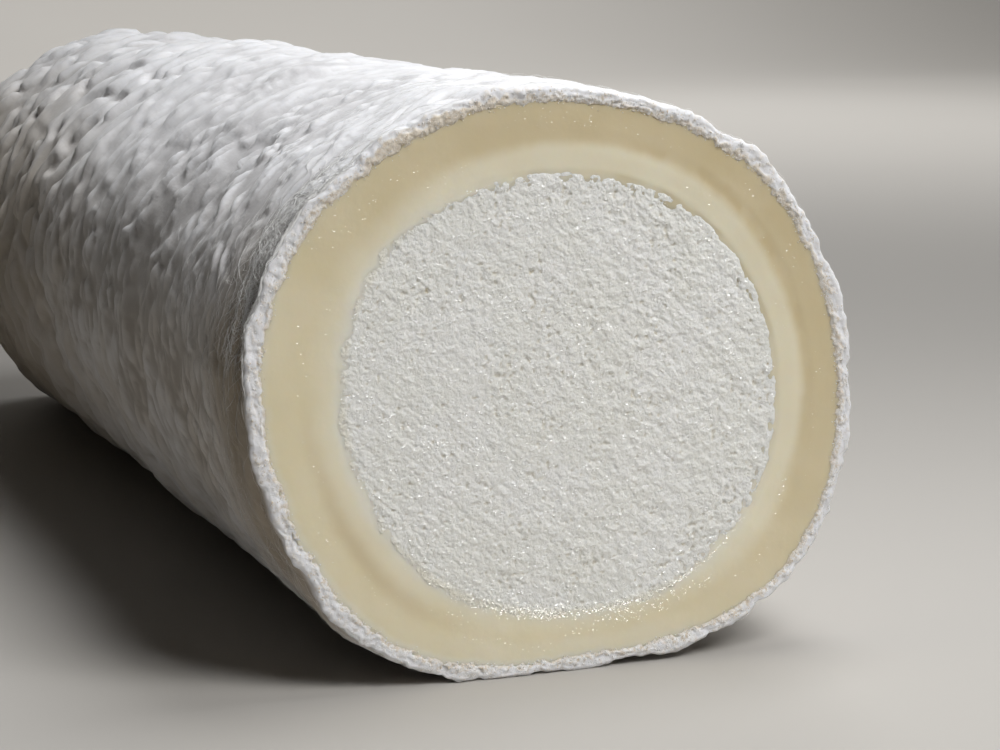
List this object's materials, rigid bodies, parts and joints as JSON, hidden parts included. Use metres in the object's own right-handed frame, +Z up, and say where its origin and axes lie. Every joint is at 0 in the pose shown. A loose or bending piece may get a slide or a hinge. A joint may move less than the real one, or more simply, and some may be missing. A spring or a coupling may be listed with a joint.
{
  "type": "goat cheese log",
  "caption": "Ripened goat cheese log lying down, cut straight through at one end: bloomy white rind, translucent cream layer and chalky white core.",
  "frame": {"origin": "middle of the bounding box's bottom, on the surface that the log rests on", "axes": "+Z up; +Y along the log from the cut face towards the closed end; +X to the right as seen from in front of the cut face"},
  "size_m": [0.0948, 0.2666, 0.0851],
  "materials": {
    "rind_and_creamline": "matt bloomy white rind outside, smooth moist cream layer at the cut",
    "chalky_core": "matt, fine grained and slightly moist"
  },
  "bodies": {
    "root": {"rind_and_creamline": "rind_and_creamline", "chalky_core": "chalky_core"}
  },
  "joints": []
}
